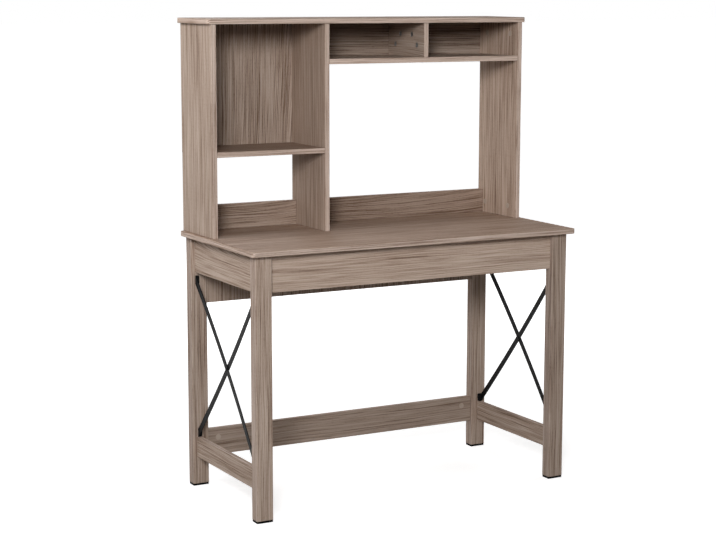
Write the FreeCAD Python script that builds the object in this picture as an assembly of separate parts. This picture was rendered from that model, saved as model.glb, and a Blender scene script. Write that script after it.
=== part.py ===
import FreeCAD, Part
import math
import os
from FreeCAD import Vector

# A student desk with a hutch, in millimetres. X runs to the right, Y to the back and Z up.
# The pieces are built about the middle of the legs. At the end they move along Y, so that the origin is on
# the floor at the middle of the desk's outline.

# Boards
board_thickness = 15.0
board_ease = 0.6              # rounding of a board's edges
top_ease = 2.0                # rounding of the desktop's and the hutch top's edges
top_corner_radius = 12.0      # corners of the desktop and the hutch top, seen from above

# Desktop and legs
desktop_width = 1038.0
desktop_depth = 494.0
desktop_height = 750.0        # floor to work surface
leg_width = 48.0              # along X
leg_depth = 34.0              # along Y
leg_inset_side = 18.0         # desktop's side edge to the leg's outer face
leg_inset_front = 22.0        # desktop's front edge to the front leg's face
leg_inset_rear = 4.0          # desktop's rear edge to the rear leg's face
leg_ease = 1.5
glide_thickness = 6.0
glide_inset = 0.5             # glide's outline inside the leg's outline

# Aprons and stretchers
rail_setback = 12.0           # leg's outer face to the rail's outer face
apron_height = 103.0
rear_apron_height = 196.0
side_stretcher_rise = 86.0    # floor to the stretcher's lower edge
side_stretcher_height = 60.0
rear_stretcher_rise = 84.0
rear_stretcher_height = 80.0

# Cross braces
brace_width = 16.0
brace_thickness = 2.5
brace_inset = 11.0            # leg's outer face to the outer bar
brace_gap_top = 9.5           # side apron's lower edge to the upper tabs
brace_gap_bottom = 0.5        # side stretcher's upper edge to the lower tabs
brace_bend_radius = 2.0       # inside of the bend between bar and tab
brace_tab_length = 13.5
brace_tab_round = 4.0
brace_screw_offset = 8.5      # bar's outer face to the screw in its tab
brace_bow = 7.0               # middle of a bar, to the right of its ends
rivet_radius = 2.5
rivet_head_radius = 5.0
rivet_head_height = 2.0

# Hutch
hutch_height = 605.0          # work surface to the top of the hutch
hutch_depth = 211.0           # of the upright panels and the shelves
hutch_top_side_overhang = 12.0
hutch_top_front_overhang = 3.0
left_bay_width = 334.0
left_shelf_height = 240.0     # work surface to the left shelf's upper face
cubby_height = 99.0
rear_rail_height = 72.0
rear_rail_setback = 12.0      # panels' rear edges to the rail's rear face
back_board_thickness = 3.0
back_board_margin = 1.0       # back board's edge inside the panel's outer face
back_board_gap = 1.0          # between the two back boards, behind the middle panel

# Cam locks, their bolts and covers
cam_radius = 7.4
cam_reach = 34.0              # board's end to the cam's axis
cam_cavity_radius = 3.6
cam_cavity_length = 4.4
cam_base = 0.9                # metal between the cavity and the cam's inner end
cam_throat_radius = 2.5
cam_recess_length = 9.0
cam_recess_width = 1.6
cam_recess_depth = 2.0
cam_recess_radius = 1.5
cam_row_gap = 15.0            # rear rail's face to the hutch's rear row of cams
bolt_head_radius = 3.2
bolt_head_length = 2.6
bolt_neck_radius = 2.0
bolt_neck_length = 6.5
bolt_shank_radius = 3.4
bolt_channel_radius = 4.0
bolt_thread_radius = 3.0
bolt_floor = 4.0              # board left beyond a bolt's or a dowel's hole
cover_radius = 8.5
cover_thickness = 1.0
cover_round = 0.5
cover_peg_radius = 1.4
cover_peg_length = 1.6

# Dowels, screws and nails
dowel_radius = 4.0
dowel_in_board = 19.0         # length of a dowel in a board's end
dowel_chamfer = 1.0
screw_head_radius = 4.0
screw_head_height = 2.4
screw_head_round = 1.2
screw_radius = 1.9
screw_length = 14.0           # under the head
screw_tip_length = 3.0
screw_recess_length = 4.6
screw_recess_width = 1.0
screw_recess_depth = 1.4
nail_head_radius = 2.0
nail_head_height = 0.8
nail_radius = 0.8
nail_length = 20.0            # under the head
nail_spacing = 95.0
nail_end_margin = 16.0        # back board's corner to its first nail
glide_nail_head_radius = 3.5
glide_nail_head_height = 1.0
glide_nail_sink = 0.4         # nail's head above the glide's underside
glide_nail_radius = 1.3
glide_nail_length = 18.0

# Clearances
fit_clearance = 0.1           # between a pin and the wall of its hole
hole_end_gap = 0.8            # between a pin's tip and the end of its hole

# Places of the fittings along a board's end
rail_cam_share = 0.15         # cam above a rail's centre line, over the rail's height
rail_dowel_share = 0.25       # dowel below a rail's centre line
rear_rail_cam_share = 0.12
rear_rail_dowel_share = 0.28
rear_apron_cam_share = 0.25   # the rear apron's two cams, either side of its centre line
apron_top_cam_share = 0.25    # cams under the desktop, over the apron's length
divider_cam_share = 0.16      # upper cams of the divider, over its depth

AXIS_X = Vector(1, 0, 0)
AXIS_Y = Vector(0, 1, 0)
AXIS_Z = Vector(0, 0, 1)
PARALLEL = 0.999              # cosine above which two directions count as parallel
TOUCH = 1e-6                  # distance below which two points count as one

# Planes that the pieces share
underside = desktop_height - board_thickness
leg_outer_x = desktop_width / 2 - leg_inset_side
leg_inner_x = leg_outer_x - leg_width
leg_outer_y = (desktop_depth - leg_inset_front - leg_inset_rear) / 2
leg_inner_y = leg_outer_y - leg_depth
rail_outer_x = leg_outer_x - rail_setback
rail_inner_x = rail_outer_x - board_thickness
rail_outer_y = leg_outer_y - rail_setback
rail_inner_y = rail_outer_y - board_thickness
side_stretcher_top = side_stretcher_rise + side_stretcher_height
apron_bottom = underside - apron_height
desktop_front = -leg_outer_y - leg_inset_front
hutch_rear = leg_outer_y + leg_inset_rear       # in line with the desktop's rear edge
hutch_front = hutch_rear - hutch_depth
desk_rear = hutch_rear + back_board_thickness
hutch_top_z = desktop_height + hutch_height
hutch_ceiling = hutch_top_z - board_thickness
hutch_outer_x = desktop_width / 2 - hutch_top_side_overhang
hutch_inner_x = hutch_outer_x - board_thickness
middle_left_x = left_bay_width - hutch_inner_x
middle_right_x = middle_left_x + board_thickness
left_shelf_z = desktop_height + left_shelf_height
cubby_shelf_z = hutch_ceiling - cubby_height
divider_x = (middle_right_x + hutch_inner_x) / 2
rear_rail_front = hutch_rear - rear_rail_setback - board_thickness
rear_rail_top = desktop_height + rear_rail_height
cam_depth = board_thickness / 2 + cam_cavity_radius + cam_base
thread_length = board_thickness - bolt_floor
hutch_cam_row = hutch_depth / 2 - rear_rail_setback - board_thickness - cam_row_gap


# Boxes

def mirrored(x_near, x_far, side):
    # An X range on the right side, or its mirror image on the left.
    return sorted((side * x_near, side * x_far))


def box_of(x_range, y_range, z_range):
    low = Vector(x_range[0], y_range[0], z_range[0])
    high = Vector(x_range[1], y_range[1], z_range[1])
    return low, high


def leg_boxes():
    boxes = {}
    for side, side_name in ((-1, "left"), (1, "right")):
        for end, end_name in ((-1, "front"), (1, "rear")):
            x_range = mirrored(leg_inner_x, leg_outer_x, side)
            y_range = mirrored(leg_inner_y, leg_outer_y, end)
            boxes[f"leg_{end_name}_{side_name}"] = box_of(x_range, y_range, (glide_thickness, underside))
    return boxes


def rail_boxes():
    across = (-leg_inner_x, leg_inner_x)
    along = (-leg_inner_y, leg_inner_y)
    front = mirrored(rail_inner_y, rail_outer_y, -1)
    rear = mirrored(rail_inner_y, rail_outer_y, 1)
    rear_stretcher_z = (rear_stretcher_rise, rear_stretcher_rise + rear_stretcher_height)
    boxes = {
        "front_apron": box_of(across, front, (apron_bottom, underside)),
        "rear_apron": box_of(across, rear, (underside - rear_apron_height, underside)),
        "rear_stretcher": box_of(across, rear, rear_stretcher_z),
    }
    side_stretcher_z = (side_stretcher_rise, side_stretcher_top)
    for side, side_name in ((-1, "left"), (1, "right")):
        x_range = mirrored(rail_inner_x, rail_outer_x, side)
        boxes[f"side_apron_{side_name}"] = box_of(x_range, along, (apron_bottom, underside))
        boxes[f"side_stretcher_{side_name}"] = box_of(x_range, along, side_stretcher_z)
    return boxes


def hutch_boxes():
    depth = (hutch_front, hutch_rear)
    full = (desktop_height, hutch_ceiling)
    rail_y = (rear_rail_front, rear_rail_front + board_thickness)
    rail_z = (desktop_height, rear_rail_top)
    left_bay = (-hutch_inner_x, middle_left_x)
    right_bay = (middle_right_x, hutch_inner_x)
    divider = (divider_x - board_thickness / 2, divider_x + board_thickness / 2)
    return {
        "hutch_side_left": box_of((-hutch_outer_x, -hutch_inner_x), depth, full),
        "hutch_side_right": box_of((hutch_inner_x, hutch_outer_x), depth, full),
        "hutch_middle_panel": box_of((middle_left_x, middle_right_x), depth, full),
        "left_shelf": box_of(left_bay, depth, (left_shelf_z - board_thickness, left_shelf_z)),
        "cubby_shelf": box_of(right_bay, depth, (cubby_shelf_z - board_thickness, cubby_shelf_z)),
        "cubby_divider": box_of(divider, depth, (cubby_shelf_z, hutch_ceiling)),
        "rear_rail_left": box_of(left_bay, rail_y, rail_z),
        "rear_rail_right": box_of(right_bay, rail_y, rail_z),
    }


def back_board_boxes():
    behind = (hutch_rear, desk_rear)
    seam = (middle_left_x + middle_right_x) / 2
    outer = hutch_outer_x - back_board_margin
    left_z = (left_shelf_z - board_thickness, hutch_ceiling)
    cubby_z = (cubby_shelf_z - board_thickness, hutch_ceiling)
    return {
        "left_back_board": box_of((-outer, seam - back_board_gap / 2), behind, left_z),
        "cubby_back_board": box_of((seam + back_board_gap / 2, outer), behind, cubby_z),
    }


def top_boxes():
    across = (-desktop_width / 2, desktop_width / 2)
    desktop_y = (desktop_front, hutch_rear)
    hutch_y = (hutch_front - hutch_top_front_overhang, desk_rear)
    return {
        "desktop": box_of(across, desktop_y, (underside, desktop_height)),
        "hutch_top": box_of(across, hutch_y, (hutch_ceiling, hutch_top_z)),
    }


# Board shapes

def plain_box(box):
    low, high = box
    size = high - low
    return Part.makeBox(size.x, size.y, size.z, low)


def edges_along(shape, axis):
    return [edge for edge in shape.Edges if abs(edge.tangentAt(edge.FirstParameter).dot(axis)) > PARALLEL]


def level_edges(shape, levels):
    # The edges that lie flat at one of the given heights.
    found = []
    for edge in shape.Edges:
        span = edge.BoundBox
        if any(abs(span.ZMin - z) < TOUCH and abs(span.ZMax - z) < TOUCH for z in levels):
            found.append(edge)
    return found


def eased_board(box):
    blank = plain_box(box)
    return blank.makeFillet(board_ease, blank.Edges)


def eased_leg(box):
    blank = plain_box(box)
    return blank.makeFillet(leg_ease, edges_along(blank, AXIS_Z))


def rounded_top(box):
    blank = plain_box(box)
    outline = blank.makeFillet(top_corner_radius, edges_along(blank, AXIS_Z))
    return outline.makeFillet(top_ease, level_edges(outline, (box[0].z, box[1].z)))


# Fasteners, each placed by a foot point and the direction that it points in

def cylinder(radius, length, foot, direction):
    return Part.makeCylinder(radius, length, foot, direction)


def turned(shape, foot, outward, across):
    # Moves a shape from the origin to a foot point, with its Z outward and its X across.
    turn = FreeCAD.Rotation(across, outward.cross(across), outward, "ZXY")
    shape.Placement = FreeCAD.Placement(foot, turn)
    return shape


def cross_recess(foot, outward, across, length, width, depth):
    # Two crossed slots, cut into a head whose outer face is at the foot point.
    slots = [Part.makeBox(length, width, depth, Vector(-length / 2, -width / 2, -depth)),
             Part.makeBox(width, length, depth, Vector(-width / 2, -length / 2, -depth))]
    return turned(slots[0].fuse(slots[1]), foot, outward, across)


def domed_head(radius, height, round_radius, foot, direction):
    head = cylinder(radius, height, foot, direction)
    rim = foot + direction * height
    outer = [edge for edge in head.Edges if edge.Closed and edge.Curve.Center.distanceToPoint(rim) < TOUCH]
    return head.makeFillet(round_radius, outer)


def any_across(direction):
    return AXIS_X if abs(direction.dot(AXIS_X)) < PARALLEL else AXIS_Y


def wood_screw(foot, direction):
    # A pan-head screw. The foot is under its head and the direction points to its tip.
    head = domed_head(screw_head_radius, screw_head_height, screw_head_round, foot, -direction)
    recess = cross_recess(foot - direction * screw_head_height, -direction, any_across(direction),
                          screw_recess_length, screw_recess_width, screw_recess_depth)
    shank_length = screw_length - screw_tip_length
    shank = cylinder(screw_radius, shank_length, foot, direction)
    tip = Part.makeCone(screw_radius, 0, screw_tip_length, foot + direction * shank_length, direction)
    return head.cut(recess).fuse([shank, tip]).removeSplitter()


def nail(foot, direction, radius, length, head_radius, head_height):
    head = cylinder(head_radius, head_height, foot, -direction)
    return head.fuse(cylinder(radius, length, foot, direction)).removeSplitter()


def rivet(face, direction, grip):
    # A rivet through a grip of metal that starts at the face. Its heads stand clear of the metal.
    ends = face - direction * fit_clearance, face + direction * (grip + fit_clearance)
    shank = cylinder(rivet_radius, ends[0].distanceToPoint(ends[1]), ends[0], direction)
    heads = [domed_head(rivet_head_radius, rivet_head_height, rivet_head_height / 2, end, outward)
             for end, outward in zip(ends, (-direction, direction))]
    return shank.fuse(heads).removeSplitter()


# Cam joints and dowels. The foot is where a board's end meets its mate's face, in the middle of
# the board's thickness. The direction along points into the board.

def cam_lock(foot, along, normal):
    axis = foot + along * cam_reach
    face = axis + normal * (board_thickness / 2)
    housing = cylinder(cam_radius, cam_depth, face, -normal)
    cavity = cylinder(cam_cavity_radius, cam_cavity_length, axis - along * (cam_cavity_length / 2), along)
    throat = cylinder(cam_throat_radius, cam_radius, axis - along * cam_radius, along)
    cross = cross_recess(face, normal, along, cam_recess_length, cam_recess_width, cam_recess_depth)
    well = cylinder(cam_recess_radius, cam_recess_depth, face, -normal)
    return housing.cut([cavity, throat, cross, well])


def cam_bolt(foot, along):
    tip = foot + along * (cam_reach + bolt_head_length / 2)
    head = cylinder(bolt_head_radius, bolt_head_length, tip, -along)
    neck_start = tip - along * bolt_head_length
    neck = cylinder(bolt_neck_radius, bolt_neck_length, neck_start, -along)
    shank_end = neck_start - along * bolt_neck_length
    shank = cylinder(bolt_shank_radius, (shank_end - foot).Length, foot, along)
    thread = cylinder(bolt_thread_radius, thread_length, foot, -along)
    return head.fuse([neck, shank, thread]).removeSplitter()


def cam_pocket(foot, along, normal):
    # What a cam joint takes out of the board: the round pocket and the bolt's channel.
    axis = foot + along * cam_reach
    face = axis + normal * (board_thickness / 2)
    pocket = cylinder(cam_radius + fit_clearance, cam_depth, face, -normal)
    return [pocket, cylinder(bolt_channel_radius, cam_reach, foot, along)]


def bolt_socket(foot, along):
    return cylinder(bolt_thread_radius + fit_clearance, thread_length + hole_end_gap, foot, -along)


def cam_cover(foot, along, normal):
    face = foot + along * cam_reach + normal * (board_thickness / 2)
    cap = domed_head(cover_radius, cover_thickness, cover_round, face, normal)
    return cap.fuse(cylinder(cover_peg_radius, cover_peg_length, face, -normal)).removeSplitter()


def dowel(foot, along):
    pin = cylinder(dowel_radius, thread_length + dowel_in_board, foot - along * thread_length, along)
    rims = [edge for edge in pin.Edges if edge.Closed]
    return pin.makeChamfer(dowel_chamfer, rims)


def dowel_hole(foot, direction, depth):
    return cylinder(dowel_radius + fit_clearance, depth + hole_end_gap, foot, direction)


class Kit:
    # The boards with the holes that the fittings need, and the loose fittings by node.

    def __init__(self, boxes):
        self.boxes = boxes
        self.cuts = {name: [] for name in boxes}
        self.fittings = {}

    def add(self, node, solid):
        self.fittings.setdefault(node, []).append(solid)

    def end_centre(self, board, along):
        # The middle of the end face at which the direction along enters a board.
        low, high = self.boxes[board]
        middle = (low + high) * 0.5
        half = (high - low) * 0.5
        return middle - along * abs(along.dot(half))

    def join(self, board, mate, along, normal, spread, cams=(), dowels=(), section="desk", covered=False):
        # Cam joints and dowels from a mate's face into a board's end, at offsets along the end.
        end = self.end_centre(board, along)
        for offset in cams:
            foot = end + spread * offset
            self.cuts[board] += cam_pocket(foot, along, normal)
            self.cuts[mate].append(bolt_socket(foot, along))
            self.add(f"{section}_cam_locks", cam_lock(foot, along, normal))
            self.add(f"{section}_cam_bolts", cam_bolt(foot, along))
            if covered:
                self.add("cam_covers", cam_cover(foot, along, normal))
        for offset in dowels:
            foot = end + spread * offset
            self.cuts[board].append(dowel_hole(foot, along, dowel_in_board))
            self.cuts[mate].append(dowel_hole(foot, -along, thread_length))
            self.add(f"{section}_dowels", dowel(foot, along))

    def span(self, board, axis):
        low, high = self.boxes[board]
        return abs((high - low).dot(axis))


# Joints of the desk

def join_rails(kit):
    for side, side_name in ((-1, "left"), (1, "right")):
        inward = AXIS_X * -side
        for rail, end_name, inside in (("front_apron", "front", AXIS_Y), ("rear_stretcher", "rear", -AXIS_Y)):
            height = kit.span(rail, AXIS_Z)
            kit.join(rail, f"leg_{end_name}_{side_name}", inward, inside, AXIS_Z,
                     cams=[rail_cam_share * height], dowels=[-rail_dowel_share * height],
                     covered=rail == "rear_stretcher")
        # The rear apron's cams are on its rear face, out of the user's sight.
        tall = rear_apron_cam_share * rear_apron_height
        kit.join("rear_apron", f"leg_rear_{side_name}", inward, AXIS_Y, AXIS_Z,
                 cams=[-tall, tall], dowels=[0])
        # The two side stretchers are the same board, so both have their cams on the right-hand face.
        for rail, cam_face in ((f"side_apron_{side_name}", inward), (f"side_stretcher_{side_name}", AXIS_X)):
            height = kit.span(rail, AXIS_Z)
            for end, end_name in ((-1, "front"), (1, "rear")):
                kit.join(rail, f"leg_{end_name}_{side_name}", AXIS_Y * -end, cam_face, AXIS_Z,
                         cams=[rail_cam_share * height], dowels=[-rail_dowel_share * height])


def join_desktop(kit):
    reach = apron_top_cam_share * kit.span("front_apron", AXIS_X)
    for apron in ("front_apron", "rear_apron"):
        kit.join(apron, "desktop", -AXIS_Z, AXIS_Y, AXIS_X, cams=[-reach, reach], dowels=[0])
    kit.join("side_apron_left", "desktop", -AXIS_Z, AXIS_X, AXIS_Y, cams=[0])
    kit.join("side_apron_right", "desktop", -AXIS_Z, -AXIS_X, AXIS_Y, cams=[0])
    for leg in leg_boxes():
        kit.join(leg, "desktop", -AXIS_Z, AXIS_X, AXIS_X, dowels=[0])


# Joints of the hutch

def join_panels(kit):
    rows = [-hutch_cam_row, hutch_cam_row]
    for panel, cam_face in (("hutch_side_left", AXIS_X), ("hutch_middle_panel", AXIS_X),
                            ("hutch_side_right", -AXIS_X)):
        for mate, along in (("desktop", AXIS_Z), ("hutch_top", -AXIS_Z)):
            kit.join(panel, mate, along, cam_face, AXIS_Y, cams=rows, dowels=[0],
                     section="hutch", covered=True)


def join_shelves(kit):
    rows = [-hutch_cam_row, hutch_cam_row]
    ends = (("left_shelf", "hutch_side_left", AXIS_X), ("left_shelf", "hutch_middle_panel", -AXIS_X),
            ("cubby_shelf", "hutch_middle_panel", AXIS_X), ("cubby_shelf", "hutch_side_right", -AXIS_X))
    for shelf, panel, along in ends:
        kit.join(shelf, panel, along, -AXIS_Z, AXIS_Y, cams=rows, dowels=[0], section="hutch")
    upper = divider_cam_share * hutch_depth
    kit.join("cubby_divider", "cubby_shelf", AXIS_Z, -AXIS_X, AXIS_Y, cams=rows, dowels=[0], section="hutch")
    kit.join("cubby_divider", "hutch_top", -AXIS_Z, -AXIS_X, AXIS_Y, cams=[-upper, upper], dowels=[0],
             section="hutch")


def join_rear_rails(kit):
    # The right rail is turned over, so that the fittings of both rails miss each other in the middle panel.
    cam = rear_rail_cam_share * rear_rail_height
    pin = rear_rail_dowel_share * rear_rail_height
    for turn, side_name in ((1, "left"), (-1, "right")):
        mates = ((f"hutch_side_{side_name}", AXIS_X * turn), ("hutch_middle_panel", AXIS_X * -turn))
        for mate, along in mates:
            kit.join(f"rear_rail_{side_name}", mate, along, AXIS_Y, AXIS_Z,
                     cams=[turn * cam], dowels=[-turn * pin], section="hutch")


# Nails of the back boards

def evenly(start, end):
    # Places from start to end, no further apart than the nail spacing.
    steps = max(1, math.ceil((end - start) / nail_spacing))
    return [start + (end - start) * step / steps for step in range(steps + 1)]


def nail_back_board(kit, board, x, z, mate):
    foot = Vector(x, hutch_rear + back_board_thickness, z)
    solid = nail(foot, -AXIS_Y, nail_radius, nail_length, nail_head_radius, nail_head_height)
    hole = cylinder(nail_radius + fit_clearance, nail_length + hole_end_gap, foot, -AXIS_Y)
    kit.cuts[board].append(hole)
    kit.cuts[mate].append(hole)
    kit.add("back_board_nails", solid)


def nail_back_boards(kit):
    quarter = board_thickness / 4
    side_x = hutch_outer_x - board_thickness / 2
    middle = (middle_left_x + middle_right_x) / 2
    uprights = (("left_back_board", -side_x, "hutch_side_left"),
                ("left_back_board", middle - quarter, "hutch_middle_panel"),
                ("cubby_back_board", middle + quarter, "hutch_middle_panel"),
                ("cubby_back_board", divider_x, "cubby_divider"),
                ("cubby_back_board", side_x, "hutch_side_right"))
    for board, x, mate in uprights:
        low, high = kit.boxes[board]
        first = low.z + board_thickness + nail_end_margin
        for z in evenly(first, high.z - nail_end_margin):
            nail_back_board(kit, board, x, z, mate)
    for board, shelf in (("left_back_board", "left_shelf"), ("cubby_back_board", "cubby_shelf")):
        low, high = kit.boxes[shelf]
        for x in evenly(low.x + nail_end_margin, high.x - nail_end_margin):
            nail_back_board(kit, board, x, (low.z + high.z) / 2, shelf)


# Cross braces

def brace_ends():
    # The height of the bar's vertical end cut, and the middles of its lower and upper ends.
    # The cut follows from the slope, and the slope from the room that the two cuts leave.
    run = 2 * (leg_inner_y - brace_thickness - brace_bend_radius)
    low = side_stretcher_top + brace_gap_bottom
    high = apron_bottom - brace_gap_top
    room = high - low
    width2 = brace_width ** 2
    run2 = run ** 2
    root = math.sqrt(width2 ** 2 * room ** 2 + (run2 - width2) * width2 * (run2 + room ** 2))
    cut = (root - width2 * room) / (run2 - width2)
    return cut, low + cut / 2, high - cut / 2


def bowed_band(bow, half_length, low, high):
    # A tall band whose outer face starts and ends on X = 0 and passes the middle at the bow.
    ends = Vector(0, -half_length, low), Vector(0, half_length, low)
    outer = Part.Arc(ends[0], Vector(bow, 0, low), ends[1]).toShape()
    across = AXIS_X * brace_thickness
    closing = [Part.makeLine(end, end + across) for end in ends]
    outline = Part.Wire(Part.__sortEdges__([outer, outer.translated(across)] + closing))
    return Part.Face(outline).extrude(AXIS_Z * (high - low))


def brace_bar(slope, bow):
    # A bar whose ends have their outer face on X = 0 and their tabs towards +X.
    # It rises to the back for a slope of 1.
    cut, low, high = brace_ends()
    bend_y = leg_inner_y - brace_thickness - brace_bend_radius
    bend_x = brace_thickness + brace_bend_radius
    heights = {slope: high, -slope: low}
    width = 2 * (abs(bow) + brace_thickness)
    corners = [Vector(-width / 2, end * bend_y, heights[end] + half * cut / 2)
               for end, half in ((-1, -1), (1, -1), (1, 1), (-1, 1))]
    diagonal = Part.Face(Part.makePolygon(corners + corners[:1])).extrude(AXIS_X * width)
    strip = diagonal.common(bowed_band(bow, bend_y, low - cut, high + cut))
    pieces = []
    for end in (-1, 1):
        foot = Vector(bend_x, end * bend_y, heights[end] - cut / 2)
        outer = cylinder(bend_x, cut, foot, AXIS_Z)
        inner = cylinder(brace_bend_radius, cut, foot, AXIS_Z)
        quarter_y = sorted((end * bend_y, end * leg_inner_y))
        quarter = plain_box(box_of((0, bend_x), quarter_y, (foot.z, foot.z + cut)))
        pieces.append(outer.cut(inner).common(quarter))
        tab_y = sorted((end * (leg_inner_y - brace_thickness), end * leg_inner_y))
        tab = plain_box(box_of((bend_x, brace_tab_length), tab_y, (foot.z, foot.z + cut)))
        corners = [edge for edge in edges_along(tab, AXIS_Y)
                   if abs(edge.BoundBox.XMin - brace_tab_length) < TOUCH]
        pieces.append(tab.makeFillet(brace_tab_round, corners))
    bar = strip.fuse(pieces).removeSplitter()
    middle = Vector(bow - brace_thickness, 0, (low + high) / 2)
    holes = [cylinder(rivet_radius + fit_clearance, 3 * brace_thickness, middle, AXIS_X)]
    for end in (-1, 1):
        start = Vector(brace_screw_offset, end * leg_inner_y, heights[end])
        holes.append(cylinder(screw_radius + fit_clearance, brace_thickness, start, AXIS_Y * -end))
    return bar.cut(holes)


def add_braces(kit, pieces):
    cut, low, high = brace_ends()
    for side, side_name in ((-1, "left"), (1, "right")):
        outer_x = side * (leg_outer_x - brace_inset)
        for layer, slope, slope_name in ((0, 1, "rising"), (1, -1, "falling")):
            bar = brace_bar(slope, -side * brace_bow)
            if side == 1:
                bar = bar.mirror(Vector(), AXIS_X)
            bar_x = outer_x - side * layer * brace_thickness
            bar.translate(AXIS_X * bar_x)
            pieces[f"brace_{slope_name}_{side_name}"] = bar
            for end, end_name in ((-1, "front"), (1, "rear")):
                height = high if end == slope else low
                x = bar_x - side * brace_screw_offset
                seat = Vector(x, end * (leg_inner_y - brace_thickness), height)
                kit.add("brace_screws", wood_screw(seat, AXIS_Y * end))
                hole = cylinder(screw_radius + fit_clearance, screw_length + hole_end_gap, seat, AXIS_Y * end)
                kit.cuts[f"leg_{end_name}_{side_name}"].append(hole)
        crossing = Vector(outer_x + brace_bow, 0, (low + high) / 2)
        kit.add("brace_rivets", rivet(crossing, AXIS_X * -side, 2 * brace_thickness))


# Foot glides

def add_glides(kit, pieces):
    for leg, (low, high) in leg_boxes().items():
        outline = ((low.x + glide_inset, high.x - glide_inset), (low.y + glide_inset, high.y - glide_inset))
        plate = plain_box(box_of(*outline, (0, glide_thickness)))
        plate = plate.makeFillet(leg_ease, edges_along(plate, AXIS_Z))
        middle = (low + high) * 0.5
        ground = Vector(middle.x, middle.y, 0)
        seat = ground + AXIS_Z * (glide_nail_sink + glide_nail_head_height)
        sink = cylinder(glide_nail_head_radius + fit_clearance, seat.z, ground, AXIS_Z)
        hole = cylinder(glide_nail_radius + fit_clearance, glide_nail_length + hole_end_gap, seat, AXIS_Z)
        pieces[leg.replace("leg", "foot_glide")] = plate.cut([sink, hole])
        kit.cuts[leg].append(hole)
        kit.add("glide_nails", nail(seat, AXIS_Z, glide_nail_radius, glide_nail_length,
                                    glide_nail_head_radius, glide_nail_head_height))


# The whole desk

def build():
    boxes = {**top_boxes(), **leg_boxes(), **rail_boxes(), **hutch_boxes(), **back_board_boxes()}
    kit = Kit(boxes)
    join_rails(kit)
    join_desktop(kit)
    join_panels(kit)
    join_shelves(kit)
    join_rear_rails(kit)
    nail_back_boards(kit)
    pieces = {}
    add_braces(kit, pieces)
    add_glides(kit, pieces)
    for name, box in boxes.items():
        if name in top_boxes():
            board = rounded_top(box)
        elif name in leg_boxes():
            board = eased_leg(box)
        elif name in back_board_boxes():
            board = plain_box(box)
        else:
            board = eased_board(box)
        pieces[name] = board.cut(kit.cuts[name])
    for node, solids in kit.fittings.items():
        pieces[node] = Part.makeCompound(solids)
    return pieces


os.makedirs("parts", exist_ok=True)
to_origin = AXIS_Y * (-(desktop_front + desk_rear) / 2)
for node, shape in build().items():
    shape.translate(to_origin)
    if not shape.isValid():
        raise ValueError(f"{node} is not a valid shape")
    print(node, len(shape.Solids), round(shape.Volume / 1000, 1), "cm3")
    shape.exportStep(f"parts/{node}.step")
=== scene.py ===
import math

import bpy
from mathutils import Matrix, Vector


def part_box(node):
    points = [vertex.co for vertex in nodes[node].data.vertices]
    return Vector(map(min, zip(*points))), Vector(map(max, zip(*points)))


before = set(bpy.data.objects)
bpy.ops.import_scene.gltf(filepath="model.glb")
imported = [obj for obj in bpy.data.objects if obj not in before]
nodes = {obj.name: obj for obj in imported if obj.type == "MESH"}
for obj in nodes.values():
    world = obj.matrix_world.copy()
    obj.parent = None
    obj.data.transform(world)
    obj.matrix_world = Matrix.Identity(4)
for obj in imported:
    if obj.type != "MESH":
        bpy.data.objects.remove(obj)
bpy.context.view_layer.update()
axes = {"x": 0, "y": 1, "z": 2}


# Short calls for shader nodes. An input may be a number, a colour or another node's socket.
class Graph:
    def __init__(self, tree):
        self.tree = tree

    def add(self, kind, inputs=None, output=0, **settings):
        made = self.tree.nodes.new("ShaderNode" + kind)
        for name, value in settings.items():
            setattr(made, name, value)
        for key, value in (inputs or {}).items():
            self.feed(made.inputs[key], value)
        return made.outputs[output]

    def feed(self, socket, value):
        if isinstance(value, bpy.types.NodeSocket):
            self.tree.links.new(value, socket)
        else:
            socket.default_value = value

    def math(self, operation, *values):
        return self.add("Math", dict(enumerate(values)), operation=operation)

    def remap(self, value, low, high, toLow=0.0, toHigh=1.0):
        # A smooth step from low to high, flat outside them.
        return self.add("MapRange", {"Value": value, "From Min": low, "From Max": high, "To Min": toLow,
                                     "To Max": toHigh}, interpolation_type="SMOOTHSTEP")

    def point(self, x, y, z=0.0):
        return self.add("CombineXYZ", {0: x, 1: y, 2: z})

    def parts(self, vector):
        split = self.add("SeparateXYZ", {0: vector}).node
        return list(split.outputs)

    def coordinates(self, name="Object"):
        return self.add("TexCoord", output=name)

    def flatNoise(self, vector, detail):
        return self.add("TexNoise", {"Vector": vector, "Scale": 1.0, "Detail": detail, "Roughness": 0.5},
                        noise_dimensions="2D")

    def solidNoise(self, scale, detail=3.0, roughness=0.6):
        # Noise through the whole piece, with about scale cells to a metre.
        return self.add("TexNoise", {"Vector": self.coordinates(), "Scale": scale, "Detail": detail,
                                     "Roughness": roughness}, noise_dimensions="3D")

    # A Mix node has its two numbers at inputs 2 and 3, and its two colours at 6 and 7.
    def pick(self, factor, a, b):
        return self.add("Mix", {0: factor, 2: a, 3: b}, data_type="FLOAT")

    def blend(self, factor, a, b, mode="MIX"):
        return self.add("Mix", {0: factor, 6: a, 7: b}, output=2, data_type="RGBA", blend_type=mode)


def srgb(red, green, blue):
    # A screen colour from 0 to 255 as the linear colour that a shader takes.
    shares = [value / 255 for value in (red, green, blue)]
    return tuple(s / 12.92 if s <= 0.04045 else ((s + 0.055) / 1.055) ** 2.4 for s in shares) + (1.0,)


def newMaterial(name):
    made = bpy.data.materials.new(name)
    made.use_nodes = True
    graph = Graph(made.node_tree)
    shader = made.node_tree.nodes["Principled BSDF"]
    return made, graph, shader


def addRelief(graph, shader, height, strength, depth):
    bump = graph.add("Bump", {"Height": height, "Strength": strength, "Distance": depth})
    graph.feed(shader.inputs["Normal"], bump)


def dress(material, *names):
    for name in names:
        nodes[name].material_slots[0].material = material


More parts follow.
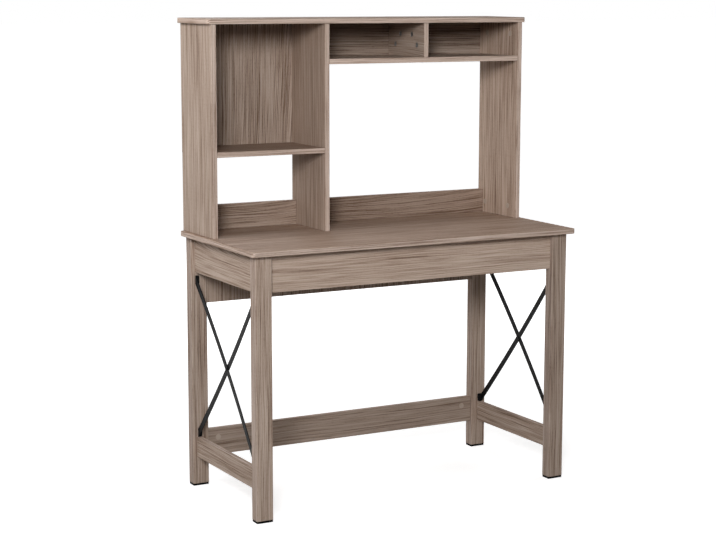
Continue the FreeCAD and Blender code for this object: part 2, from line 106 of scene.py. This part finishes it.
# Camera
view = {
    "place": (-2.5076, -4.5129, 1.4450),
    "heading": -29.52,            # degrees: 0 looks straight at the front, and less turns to the right
    "pitch": -9.32,
    "roll": 0.26,
    "lens": 90.48, "sensor": 36.0,
    "shiftX": -0.0492, "shiftY": 0.0160,
    "farthest": 200.0,
}


def makeCamera():
    data = bpy.data.cameras.new("deskCamera")
    data.sensor_fit = "HORIZONTAL"
    data.sensor_width, data.lens = view["sensor"], view["lens"]
    data.shift_x, data.shift_y = view["shiftX"], view["shiftY"]
    data.clip_end = view["farthest"]
    camera = bpy.data.objects.new("deskCamera", data)
    bpy.context.scene.collection.objects.link(camera)
    turn = (Matrix.Rotation(math.radians(view["heading"]), 4, "Z")
            @ Matrix.Rotation(math.radians(90 + view["pitch"]), 4, "X")
            @ Matrix.Rotation(math.radians(view["roll"]), 4, "Z"))
    camera.matrix_world = Matrix.Translation(view["place"]) @ turn
    bpy.context.scene.camera = camera
    bpy.context.scene.view_settings.view_transform = "Standard"


# Studio: soft boxes, a pale floor and a white room
studio = {
    "roomLight": 0.02,                         # what the room adds to the lamps
    "floorHalf": 60.0,
    "floorColour": srgb(236, 236, 236),
    "floorBounce": srgb(216, 216, 216),        # the floor as it lights the desk, for darker undersides
    "floorGlow": 0.66,                         # under the desk, rising to 1 further out
    "glowStart": 0.9, "glowEnd": 2.6,          # metres from the middle of the desk
}
# Lamps are round. Place, size and aim are in metres, power in watts and spread in degrees.
plainBox = {"spread": 180, "aim": (0.0, 0.0, 0.75)}
softBoxes = {
    "key": {"place": (-2.9, -4.4, 2.60), "size": 1.5, "power": 26.2, "spread": 60, "aim": (0.25, 0.0, 1.25)},
    "right": {"place": (4.2, 0.2, 1.8), "size": 2.4, "power": 44},
    "leftBack": {"place": (-3.4, 2.6, 1.8), "size": 2.4, "power": 20},
    "leftFront": {"place": (-4.0, -2.0, 1.5), "size": 2.4, "power": 6},
    "nearLeft": {"place": (-2.2, 0.2, 2.2), "size": 1.2, "power": 16},
    "nearLeftFront": {"place": (-2.2, -1.2, 1.9), "size": 1.2, "power": 5},
    "top": {"place": (0.0, -0.6, 4.2), "size": 2.8, "power": 6},
    "back": {"place": (0.6, 4.4, 2.2), "size": 2.4, "power": 62},
}


def seenOrMirrored(graph):
    # 1 for what the camera, a mirror or glass sees, 0 for what lights the desk.
    path = graph.add("LightPath").node
    seen = graph.math("MAXIMUM", path.outputs["Is Camera Ray"], path.outputs["Is Glossy Ray"])
    return graph.math("MAXIMUM", seen, path.outputs["Is Transmission Ray"])


def makeRoom():
    world = bpy.data.worlds.new("room")
    world.use_nodes = True
    bpy.context.scene.world = world
    graph = Graph(world.node_tree)
    background = world.node_tree.nodes["Background"]
    background.inputs["Color"].default_value = (1, 1, 1, 1)
    graph.feed(background.inputs["Strength"], graph.pick(seenOrMirrored(graph), studio["roomLight"], 1.0))


def makeFloor():
    half = studio["floorHalf"]
    corners = [(-half, -half, 0), (half, -half, 0), (half, half, 0), (-half, half, 0)]
    mesh = bpy.data.meshes.new("floor")
    mesh.from_pydata(corners, [], [(0, 1, 2, 3)])
    floor = bpy.data.objects.new("floor", mesh)
    bpy.context.scene.collection.objects.link(floor)
    material, graph, shader = newMaterial("paleFloor")
    seen = seenOrMirrored(graph)
    graph.feed(shader.inputs["Base Color"],
               graph.blend(seen, studio["floorBounce"], studio["floorColour"]))
    shader.inputs["Roughness"].default_value = 1.0
    shader.inputs["Specular IOR Level"].default_value = 0.0
    away = graph.add("VectorMath", {0: graph.coordinates()}, output="Value", operation="LENGTH")
    glow = graph.remap(away, studio["glowStart"], studio["glowEnd"], studio["floorGlow"], 1.0)
    shader.inputs["Emission Color"].default_value = (1, 1, 1, 1)
    graph.feed(shader.inputs["Emission Strength"], graph.math("MULTIPLY", glow, seen))
    mesh.materials.append(material)


def makeLights():
    for name, own in softBoxes.items():
        box = {**plainBox, **own}
        data = bpy.data.lights.new(name, "AREA")
        data.shape = "DISK"
        data.size, data.energy = box["size"], box["power"]
        data.spread = math.radians(box["spread"])
        lamp = bpy.data.objects.new(name, data)
        bpy.context.scene.collection.objects.link(lamp)
        lamp.location = box["place"]
        toward = Vector(box["aim"]) - Vector(box["place"])
        lamp.rotation_euler = toward.to_track_quat("-Z", "Y").to_euler()


# Laminate: a washed oak print with streaks, arches, dark lines and pores, all in metres.
# A streak is one pitch wide and stretch times as long, and share is its part in the print's tone.
grain = {
    "broad": {"pitch": 0.050, "stretch": 20, "detail": 2.0, "share": 0.36},
    "rings": {"pitch": 0.0060, "stretch": 75, "detail": 2.0, "share": 0.72},
    "fine": {"pitch": 0.0028, "stretch": 90, "detail": 2.0, "share": 1.10},
    "hair": {"pitch": 0.0012, "stretch": 70, "detail": 1.0, "share": 0.70},
    "lines": {"pitch": 0.012, "stretch": 45, "detail": 1.0, "share": 0.12, "start": 0.66, "end": 0.74},
    "pores": {"pitch": 0.0006, "length": 0.011, "detail": 1.0, "share": 0.14, "start": 0.58, "end": 0.70},
    "slowWander": {"length": 0.45, "width": 0.16, "reach": 0.012},     # the streaks' swing to the side
    "fastWander": {"length": 0.06, "width": 0.03, "reach": 0.0014},
    "tones": ((0.0, srgb(112, 92, 79)), (0.25, srgb(146, 126, 112)),
              (0.5, srgb(167, 148, 134)), (0.95, srgb(187, 170, 157))),
    "roughness": 0.60, "poreRoughness": 0.12, "ringGloss": 0.15,
    "ringHeight": 0.35,                                                # beside a pore's depth of 1
    "relief": 0.00012, "reliefStrength": 0.5,
}


def streaks(graph, along, across, layer, shift):
    # Noise drawn out along the grain.
    place = graph.point(graph.math("MULTIPLY_ADD", along, 1 / (layer["pitch"] * layer["stretch"]), shift),
                        graph.math("MULTIPLY_ADD", across, 1 / layer["pitch"], shift))
    return graph.flatNoise(place, layer["detail"])


def printPores(graph, along, across, shift):
    # Short dark dashes along the grain.
    pores = grain["pores"]
    place = graph.point(graph.math("MULTIPLY_ADD", along, 1 / pores["length"], shift),
                        graph.math("MULTIPLY", across, 1 / pores["pitch"]))
    return graph.remap(graph.flatNoise(place, pores["detail"]), pores["start"], pores["end"])


def centred(graph, value):
    # Noise and tones lie about 0.5, so this one lies about 0.
    return graph.math("SUBTRACT", value, 0.5)


def wander(graph, along, across, swing, shift):
    # A smooth sideways shift of up to about half the swing's reach.
    place = graph.point(graph.math("MULTIPLY_ADD", along, 1 / swing["length"], shift),
                        graph.math("MULTIPLY_ADD", across, 1 / swing["width"], shift))
    return graph.math("MULTIPLY", centred(graph, graph.flatNoise(place, 1.0)), swing["reach"])


def ringPlace(graph, given, across):
    # The rings are circles about the log's heart. The board is a slanted cut through them, so a ring
    # shows where the root of (across from heart)^2 + (taper * along from tip)^2 has one value.
    sideways = graph.math("SUBTRACT", across, given["heart"])
    lengthways = graph.math("MULTIPLY", graph.math("SUBTRACT", given["along"], given["tip"]), given["taper"])
    ring = graph.math("SQRT", graph.math("ADD", graph.math("POWER", sideways, 2.0),
                                         graph.math("POWER", lengthways, 2.0)))
    return graph.math("MULTIPLY", ring, given["tight"])


def printColour(graph, tone):
    colour = graph.add("ValToRGB", {0: tone})
    ramp = colour.node.color_ramp
    while len(ramp.elements) < len(grain["tones"]):
        ramp.elements.new(0.5)
    for element, (place, shade) in zip(ramp.elements, grain["tones"]):
        element.position = place
        element.color = shade
    return colour


def newPrintTree():
    tree = bpy.data.node_groups.new("oakPrint", "ShaderNodeTree")
    for name in ("along", "across", "heart", "tip", "taper", "tight", "depth", "seed"):
        tree.interface.new_socket(name, in_out="INPUT", socket_type="NodeSocketFloat")
    tree.interface.new_socket("colour", in_out="OUTPUT", socket_type="NodeSocketColor")
    for name in ("roughness", "height"):
        tree.interface.new_socket(name, in_out="OUTPUT", socket_type="NodeSocketFloat")
    return tree


def makeOakPrint():
    tree = newPrintTree()
    graph = Graph(tree)
    given = tree.nodes.new("NodeGroupInput").outputs
    along, across, seed = given["along"], given["across"], given["seed"]
    for swing in (grain["slowWander"], grain["fastWander"]):
        across = graph.math("ADD", across, wander(graph, along, across, swing, seed))
    ring = ringPlace(graph, given, across)
    layers = {name: streaks(graph, along, ring, grain[name], seed)
              for name in ("broad", "rings", "fine", "hair", "lines")}
    lines = graph.remap(layers.pop("lines"), grain["lines"]["start"], grain["lines"]["end"])
    pores = printPores(graph, along, across, seed)
    tone = 0.5
    for name, layer in layers.items():
        tone = graph.math("MULTIPLY_ADD", centred(graph, layer), grain[name]["share"], tone)
    for name, layer in (("lines", lines), ("pores", pores)):
        tone = graph.math("MULTIPLY_ADD", layer, -grain[name]["share"], tone)
    tone = graph.math("MULTIPLY_ADD", centred(graph, tone), given["depth"], 0.5)
    roughness = graph.math("MULTIPLY_ADD", pores, grain["poreRoughness"], grain["roughness"])
    roughness = graph.math("MULTIPLY_ADD", centred(graph, layers["rings"]), -grain["ringGloss"], roughness)
    height = graph.math("SUBTRACT", graph.math("MULTIPLY", layers["rings"], grain["ringHeight"]), pores)
    results = tree.nodes.new("NodeGroupOutput").inputs
    graph.feed(results["colour"], printColour(graph, tone))
    graph.feed(results["roughness"], roughness)
    graph.feed(results["height"], height)
    return tree


def layPrint(graph, plan, index, oakPrint, along, across):
    printed = graph.add("Group", node_tree=oakPrint).node
    values = {"along": along, "across": across, "seed": finish["seedStep"] * (index + 1)}
    values.update({name: plan[name] for name in ("heart", "tip", "taper", "tight", "depth")})
    for name, value in values.items():
        graph.feed(printed.inputs[name], value)
    return printed.outputs


# Each board: its grain, and the arches of its print by their heart and tip from the board's middle,
# in metres. A heart far outside the board gives straight streaks, a small taper long arches, a high
# tight closer ones, and a high depth stronger streaks. Tone scales the board's colour, below 1 darker:
# partly the board's own tone, partly painted light and shade fitted to how brightly the board is lit.
# Warm makes it browner, partly its own colour and partly a painted warm tint of the shade. Band is the
# tone of its edge bands, lighter than the faces and partly painted light, and a leg is wrapped, so it
# has none. Meets names the sides that meet another board: without it, they are the two ends of the grain.
plainBoard = {"tip": -0.9, "taper": 0.03, "tight": 1.0, "depth": 1.0, "warm": 0.0}
boards = {
    "desktop": {"grain": "x", "heart": 0.62, "depth": 1.15, "tone": 0.97, "band": 1.38, "warm": 1.0,
                "meets": ()},
    "hutch_top": {"grain": "x", "heart": -0.40, "tone": 1.0, "band": 1.47, "meets": ()},
    "left_shelf": {"grain": "x", "heart": 0.30, "tone": 0.70, "band": 1.42, "warm": 1.0},
    "cubby_shelf": {"grain": "x", "heart": 0.33, "tone": 1.0, "band": 1.48},
    "front_apron": {"grain": "x", "heart": -0.26, "tip": -0.3, "tone": 1.25, "band": 1.2,
                    "meets": ("x-", "x+", "z+")},
    "side_apron_left": {"grain": "y", "heart": 0.035, "tip": -0.25, "taper": 0.07, "depth": 1.15,
                        "tone": 1.10, "band": 1.2, "meets": ("y-", "y+", "z+")},
    "side_apron_right": {"grain": "y", "heart": -0.03, "tip": 0.2, "taper": 0.1, "tone": 1.0, "band": 1.2,
                         "meets": ("y-", "y+", "z+")},
    "side_stretcher_left": {"grain": "y", "heart": 0.20, "depth": 1.35, "tone": 1.05, "band": 1.25},
    "side_stretcher_right": {"grain": "y", "heart": -0.18, "depth": 1.2, "tone": 0.98, "band": 1.25},
    "rear_stretcher": {"grain": "x", "heart": 0.22, "tone": 0.87, "band": 1.25},
    "rear_apron": {"grain": "z", "heart": 0.70, "tone": 0.94, "band": 1.2, "meets": ("x-", "x+", "z+")},
    "rear_rail_left": {"grain": "x", "heart": 0.065, "tip": -0.25, "taper": 0.10, "tight": 1.6,
                       "depth": 2.1, "tone": 0.84, "band": 1.3, "warm": 0.5, "meets": ("x-", "x+", "z-")},
    "rear_rail_right": {"grain": "x", "heart": 0.070, "tip": -0.30, "taper": 0.09, "tight": 1.6,
                        "depth": 2.1, "tone": 0.72, "band": 1.3, "warm": 0.9, "meets": ("x-", "x+", "z-")},
    "cubby_divider": {"grain": "y", "heart": -0.16, "tip": 0.10, "taper": 0.20, "tight": 1.6,
                      "tone": 0.87, "band": 1.42, "meets": ("z-", "z+")},
    "hutch_side_left": {"grain": "z", "heart": 0.34, "depth": 1.3, "tone": 1.12, "band": 1.38},
    "hutch_side_right": {"grain": "z", "heart": -0.30, "depth": 1.3, "tone": 1.12, "band": 1.50,
                         "warm": 0.4},
    "hutch_middle_panel": {"grain": "z", "heart": 0.27, "tone": 0.93, "band": 1.38, "warm": 0.4},
    "leg_front_left": {"grain": "z", "heart": 0.16, "depth": 1.4, "tone": 1.15},
    "leg_front_right": {"grain": "z", "heart": -0.15, "depth": 1.2, "tone": 0.98},
    "leg_rear_left": {"grain": "z", "heart": -0.17, "depth": 1.35, "tone": 1.03},
    "leg_rear_right": {"grain": "z", "heart": 0.19, "depth": 1.2, "tone": 1.0},
}
finish = {
    "seedStep": 3.71,                                                  # gives each board its own print
    "endShift": 0.31,                                                  # and its ends another part of it
    # warmth is the tint that warm scales, partly a painted warm tint of shade; bandHue is the edge bands'
    # own hue.
    "warmth": (0.07, -0.01, -0.06), "bandHue": (0.985, 1.0, 1.035),
    "onFace": 0.9, "onEnd": 0.7,                                       # least part of a normal that way
    "bandStart": 0.5, "bandFull": 0.3,                                 # a rounded edge turns to band here
    "bandThickness": 0.0008, "seamWidth": 0.0002, "seamShade": 0.55,
    "paleEdgeStart": 0.0014, "paleEdgeEnd": 0.0004, "paleEdgeLift": 0.08,    # paler near the edges: rubbed wear and a painted edge highlight
    "paleEdgeScale": 38.0,
    "paintedShadowWidth": 0.0016, "paintedShadowStrength": 0.50,                          # painted contact shadow where two boards meet
    "specular": 0.04,
}


# Paler near the edges, in patches: partly rubbed wear, partly a painted highlight along the rounded edges.
def paleEdgeWearAndHighlight(graph, inside):
    # On a face one of the three depths is 0, and near an edge the middle one is small too.
    a, b, c = inside
    middle = graph.math("MAXIMUM", graph.math("MINIMUM", a, b),
                        graph.math("MINIMUM", graph.math("MAXIMUM", a, b), c))
    patches = graph.solidNoise(finish["paleEdgeScale"])
    near = graph.remap(middle, finish["paleEdgeStart"], finish["paleEdgeEnd"])
    return graph.math("MULTIPLY_ADD", graph.math("MULTIPLY", near, patches), finish["paleEdgeLift"], 1.0)


def bandSeam(graph, toRim, facing):
    # A thin darker line on the face, where the edge band's thickness ends.
    off = graph.math("ABSOLUTE", graph.math("SUBTRACT", toRim, finish["bandThickness"]))
    line = graph.remap(off, finish["seamWidth"], 0.0)
    onFace = graph.math("GREATER_THAN", facing, finish["onFace"])
    return graph.math("SUBTRACT", 1.0, graph.math("MULTIPLY", graph.math("MULTIPLY", line, onFace),
                                                  finish["seamShade"]))


# Painted shadow: darkens each face in a thin strip along the sides that meet another board, standing in for
# the contact shadow in the joint.
def paintedJointShadow(graph, plan, size, local):
    # Each name in meets is one side of the board, such as z+ for its top.
    shade = 1.0
    for name in plan.get("meets", (plan["grain"] + "-", plan["grain"] + "+")):
        i, way = axes[name[0]], 1 if name[1] == "+" else -1
        deep = graph.math("MULTIPLY_ADD", local[i], -way, size[i] / 2)
        line = graph.remap(deep, 0.0, finish["paintedShadowWidth"], 1 - finish["paintedShadowStrength"], 1.0)
        shade = graph.math("MULTIPLY", line, shade)
    return shade


# The boards' core shows inside their holes: pale chips of a few millimetres with darker ones between.
core = {
    "depth": 0.0012, "margin": 0.006,          # how far in from the faces and from the rim it starts
    "chipScale": 420.0, "dark": srgb(150, 116, 80), "pale": srgb(205, 175, 132),
}


def coreOrPrint(graph, colour, deep, toRim):
    inCore = graph.math("MULTIPLY", graph.math("GREATER_THAN", deep, core["depth"]),
                        graph.math("GREATER_THAN", toRim, core["margin"]))
    cells = graph.add("TexVoronoi", {"Vector": graph.coordinates(), "Scale": core["chipScale"]},
                      output="Color")
    chips = graph.blend(graph.parts(cells)[0], core["dark"], core["pale"])
    return graph.blend(inCore, colour, chips)


def boardTint(graph, plan, onBand, marksAndPaintedLight):
    # The board's tone on its faces and its edge bands, partly its own colour and partly painted light and
    # shade, times the marks in the last argument: the seam line, the paler edges (rubbed wear and painted
    # highlight) and the painted joint shadows.
    face = [plan["tone"] * (1 + plan["warm"] * share) for share in finish["warmth"]]
    band = [plan.get("band", plan["tone"]) * share for share in finish["bandHue"]]
    tint = graph.blend(onBand, (*face, 1.0), (*band, 1.0))
    return graph.blend(1.0, tint, graph.point(marksAndPaintedLight, marksAndPaintedLight, marksAndPaintedLight), "MULTIPLY")


def makeBoard(name, index, oakPrint):
    plan = {**plainBoard, **boards[name]}
    low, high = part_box(name)
    middle, size = (low + high) / 2, high - low
    grainAxis = axes[plan["grain"]]
    thinAxis, crossAxis = sorted((i for i in range(3) if i != grainAxis), key=lambda i: size[i])
    material, graph, shader = newMaterial("laminate." + name)
    place = graph.parts(graph.coordinates())
    facing = [graph.math("ABSOLUTE", part) for part in graph.parts(graph.coordinates("Normal"))]
    local = [graph.math("SUBTRACT", place[i], middle[i]) for i in range(3)]
    atEnd = graph.math("GREATER_THAN", facing[grainAxis], finish["onEnd"])
    along = graph.pick(atEnd, local[grainAxis], local[crossAxis])
    across = graph.pick(atEnd, graph.math("ADD", local[crossAxis], local[thinAxis]),
                        graph.math("ADD", local[thinAxis], finish["endShift"]))
    printed = layPrint(graph, plan, index, oakPrint, along, across)
    inside = [graph.math("SUBTRACT", size[i] / 2, graph.math("ABSOLUTE", local[i])) for i in range(3)]
    toRim = graph.math("MINIMUM", inside[grainAxis], inside[crossAxis])
    # Paler edges: rubbed wear and painted edge highlight.
    marksAndPaintedLight = paleEdgeWearAndHighlight(graph, inside)
    if "band" in plan:
        marksAndPaintedLight = graph.math("MULTIPLY", marksAndPaintedLight, bandSeam(graph, toRim, facing[thinAxis]))
    # Painted contact shadow along the joints.
    marksAndPaintedLight = graph.math("MULTIPLY", marksAndPaintedLight, paintedJointShadow(graph, plan, size, local))
    # Edge bands take the band tone, lighter than the faces and partly painted light.
    onBand = graph.remap(facing[thinAxis], finish["bandStart"], finish["bandFull"])
    colour = graph.blend(1.0, printed["colour"], boardTint(graph, plan, onBand, marksAndPaintedLight), "MULTIPLY")
    graph.feed(shader.inputs["Base Color"], coreOrPrint(graph, colour, inside[thinAxis], toRim))
    graph.feed(shader.inputs["Roughness"], printed["roughness"])
    shader.inputs["Specular IOR Level"].default_value = finish["specular"]
    addRelief(graph, shader, printed["height"], grain["reliefStrength"], grain["relief"])
    dress(material, name)


# Back boards: the same print on the front, brown hardboard behind
# Their tone is partly the board's own, partly painted shade fitted to how dark each bay is.
backBoards = {
    "left_back_board": {"grain": "z", "across": "x", "heart": 0.24, "taper": 0.08, "tight": 1.5,
                        "depth": 1.75, "tone": 0.93},
    "cubby_back_board": {"grain": "x", "across": "z", "heart": -0.30, "taper": 0.05, "tight": 1.4,
                         "depth": 1.6, "tone": 0.74},
}
hardboard = {
    "brown": srgb(134, 106, 80), "pale": srgb(162, 132, 103), "roughness": 0.85,
    "fibreScale": 260.0, "fibreDetail": 4.0, "fibreRoughness": 0.7, "brownBelow": 0.35, "paleAbove": 0.65,
    "facesFront": -0.5,                        # the front is where the normal's y is below this
}


def makeBackBoard(name, index, oakPrint):
    plan = {**plainBoard, **backBoards[name]}
    low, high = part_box(name)
    middle = (low + high) / 2
    grainAxis, crossAxis = axes[plan["grain"]], axes[plan["across"]]
    material, graph, shader = newMaterial("backBoard." + name)
    place = graph.parts(graph.coordinates())
    along = graph.math("SUBTRACT", place[grainAxis], middle[grainAxis])
    across = graph.math("SUBTRACT", place[crossAxis], middle[crossAxis])
    printed = layPrint(graph, plan, index, oakPrint, along, across)
    fibres = graph.solidNoise(hardboard["fibreScale"], hardboard["fibreDetail"], hardboard["fibreRoughness"])
    mottle = graph.remap(fibres, hardboard["brownBelow"], hardboard["paleAbove"])
    behind = graph.blend(mottle, hardboard["brown"], hardboard["pale"])
    inFront = graph.math("LESS_THAN", graph.parts(graph.coordinates("Normal"))[1],
                         hardboard["facesFront"])
    # Tone darkens the print: partly the board's own tone, partly painted shade.
    toned = graph.blend(1.0, printed["colour"], (*[plan["tone"]] * 3, 1.0), "MULTIPLY")
    graph.feed(shader.inputs["Base Color"], graph.blend(inFront, behind, toned))
    graph.feed(shader.inputs["Roughness"], graph.pick(inFront, hardboard["roughness"], printed["roughness"]))
    shader.inputs["Specular IOR Level"].default_value = finish["specular"]
    height = graph.pick(inFront, fibres, printed["height"])
    addRelief(graph, shader, height, grain["reliefStrength"], grain["relief"])
    dress(material, name)


def makeLaminates():
    oakPrint = makeOakPrint()
    for index, name in enumerate(boards):
        makeBoard(name, index, oakPrint)
    for index, name in enumerate(backBoards, len(boards)):
        makeBackBoard(name, index, oakPrint)


# Metal and plastic: each finish goes from dark to light by one fine and one cloudy noise, and its
# roughness by spread to either side with them. Scale is in cells to a metre and relief in metres.
speckle = {"cloudScale": 0.06, "fineShare": 0.5, "darkBelow": 0.35, "lightAbove": 0.65, "strength": 0.4}
plainFitting = {"metallic": 0.0, "specular": 0.5}
fittings = {
    "powderCoat": {"dark": srgb(6, 6, 7), "light": srgb(13, 13, 14), "scale": 2600.0, "roughness": 0.50,
                   "spread": 0.06, "relief": 0.00006, "specular": 0.09,
                   "pieces": ("brace_rising_left", "brace_falling_left", "brace_rising_right",
                              "brace_falling_right", "brace_screws", "brace_rivets")},
    "blackPlastic": {"dark": srgb(4, 4, 4), "light": srgb(10, 10, 10), "scale": 1800.0, "roughness": 0.60,
                     "spread": 0.08, "relief": 0.00008, "specular": 0.04,
                     "pieces": ("foot_glide_front_left", "foot_glide_front_right", "foot_glide_rear_left",
                                "foot_glide_rear_right")},
    "castZinc": {"dark": srgb(142, 142, 143), "light": srgb(174, 174, 173), "scale": 900.0,
                 "roughness": 0.50, "spread": 0.1, "relief": 0.00005, "metallic": 1.0,
                 "pieces": ("desk_cam_locks", "hutch_cam_locks")},
    "platedSteel": {"dark": srgb(168, 168, 165), "light": srgb(198, 198, 194), "scale": 700.0,
                    "roughness": 0.33, "spread": 0.08, "relief": 0.00003, "metallic": 1.0,
                    "pieces": ("desk_cam_bolts", "hutch_cam_bolts", "back_board_nails", "glide_nails")},
    "coverPlastic": {"dark": srgb(164, 147, 133), "light": srgb(176, 159, 145), "scale": 900.0,
                     "roughness": 0.5, "spread": 0.06, "relief": 0.00005, "pieces": ("cam_covers",)},
}


def mixedNoise(graph, fine, cloudy, fineShare, low, high):
    both = graph.math("ADD", graph.math("MULTIPLY", fine, fineShare),
                      graph.math("MULTIPLY", cloudy, 1 - fineShare))
    return graph.remap(both, low, high)


def makeFitting(name):
    plan = {**plainFitting, **fittings[name]}
    material, graph, shader = newMaterial(name)
    fine = graph.solidNoise(plan["scale"])
    cloudy = graph.solidNoise(plan["scale"] * speckle["cloudScale"])
    mixed = mixedNoise(graph, fine, cloudy, speckle["fineShare"], speckle["darkBelow"],
                       speckle["lightAbove"])
    graph.feed(shader.inputs["Base Color"], graph.blend(mixed, plan["dark"], plan["light"]))
    graph.feed(shader.inputs["Roughness"],
               graph.pick(mixed, plan["roughness"] + plan["spread"], plan["roughness"] - plan["spread"]))
    shader.inputs["Metallic"].default_value = plan["metallic"]
    shader.inputs["Specular IOR Level"].default_value = plan["specular"]
    addRelief(graph, shader, fine, speckle["strength"], plan["relief"])
    dress(material, *plan["pieces"])


# Beech dowels: pale wood with fine flecks
beech = {
    "dark": srgb(186, 142, 96), "light": srgb(221, 186, 142), "roughness": 0.7,
    "fleckScale": 900.0, "fleckDetail": 2.0, "cloudScale": 90.0, "fleckShare": 0.4,
    "darkBelow": 0.3, "lightAbove": 0.7, "relief": 0.0002, "strength": 0.4,
}


def makeBeech():
    material, graph, shader = newMaterial("beech")
    flecks = graph.solidNoise(beech["fleckScale"], beech["fleckDetail"])
    cloudy = graph.solidNoise(beech["cloudScale"])
    tone = mixedNoise(graph, flecks, cloudy, beech["fleckShare"], beech["darkBelow"], beech["lightAbove"])
    graph.feed(shader.inputs["Base Color"], graph.blend(tone, beech["dark"], beech["light"]))
    shader.inputs["Roughness"].default_value = beech["roughness"]
    addRelief(graph, shader, flecks, beech["strength"], beech["relief"])
    dress(material, "desk_dowels", "hutch_dowels")


makeCamera()
makeRoom()
makeFloor()
makeLights()
print("studio ready")
makeLaminates()
print("laminates ready")
for name in fittings:
    makeFitting(name)
makeBeech()
print("fittings ready")
